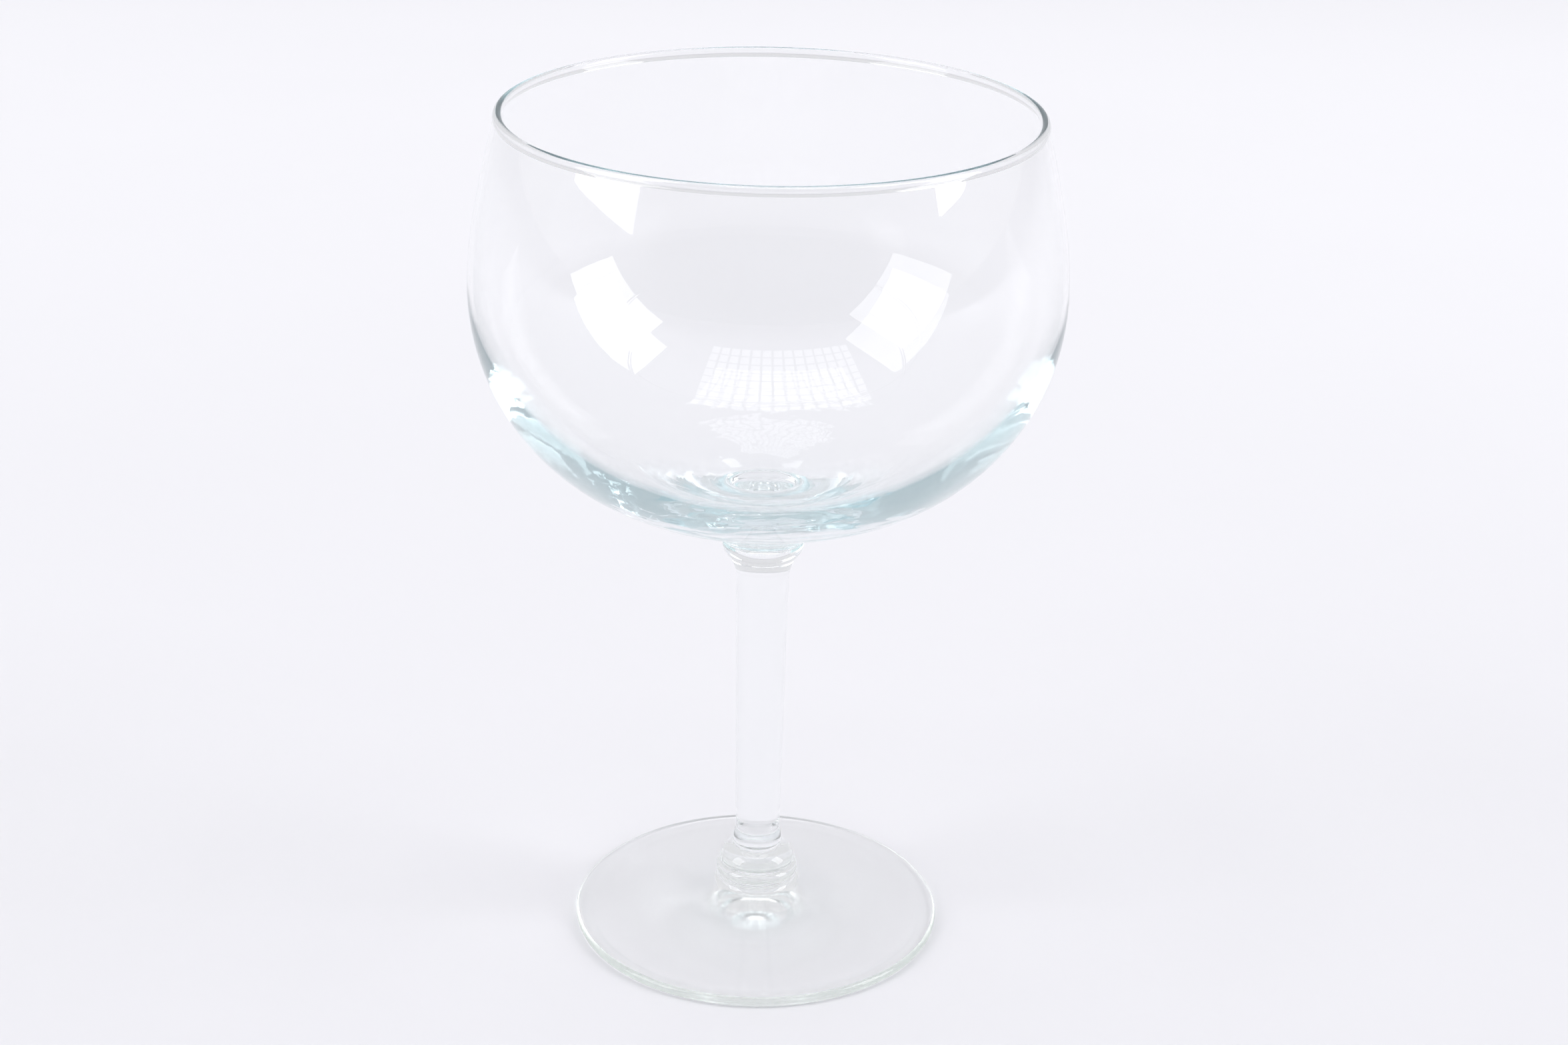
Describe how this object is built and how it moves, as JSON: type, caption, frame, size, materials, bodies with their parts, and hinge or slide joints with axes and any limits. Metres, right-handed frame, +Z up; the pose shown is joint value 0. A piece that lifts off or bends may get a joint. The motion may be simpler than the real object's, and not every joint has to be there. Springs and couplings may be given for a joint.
{
  "type": "wine glass",
  "caption": "Clear stemmed wine glass with a large round bowl, thick round bottom, beaded rim, drawn stem, ringed knop and disc foot.",
  "frame": {"origin": "centre of the circle on which the foot stands, on the table's surface", "axes": "+Z up along the glass's axis of symmetry, from the foot to the rim; +X and +Y are across, and -Y faces the viewer"},
  "size_m": [0.1138, 0.1138, 0.1713],
  "materials": {
    "foot_glass": "clear polished soda-lime glass with a faint green cast at the edge",
    "knop_glass": "clear polished soda-lime glass with a faint green cast",
    "stem_glass": "clear drawn soda-lime glass with soft lengthwise waves",
    "bowl_glass": "clear blown soda-lime glass, aqua where it is thick"
  },
  "bodies": {
    "root": {"foot": "foot_glass", "lower_knop_ring": "knop_glass", "upper_knop_ring": "knop_glass", "stem": "stem_glass", "bowl": "bowl_glass"}
  },
  "joints": []
}
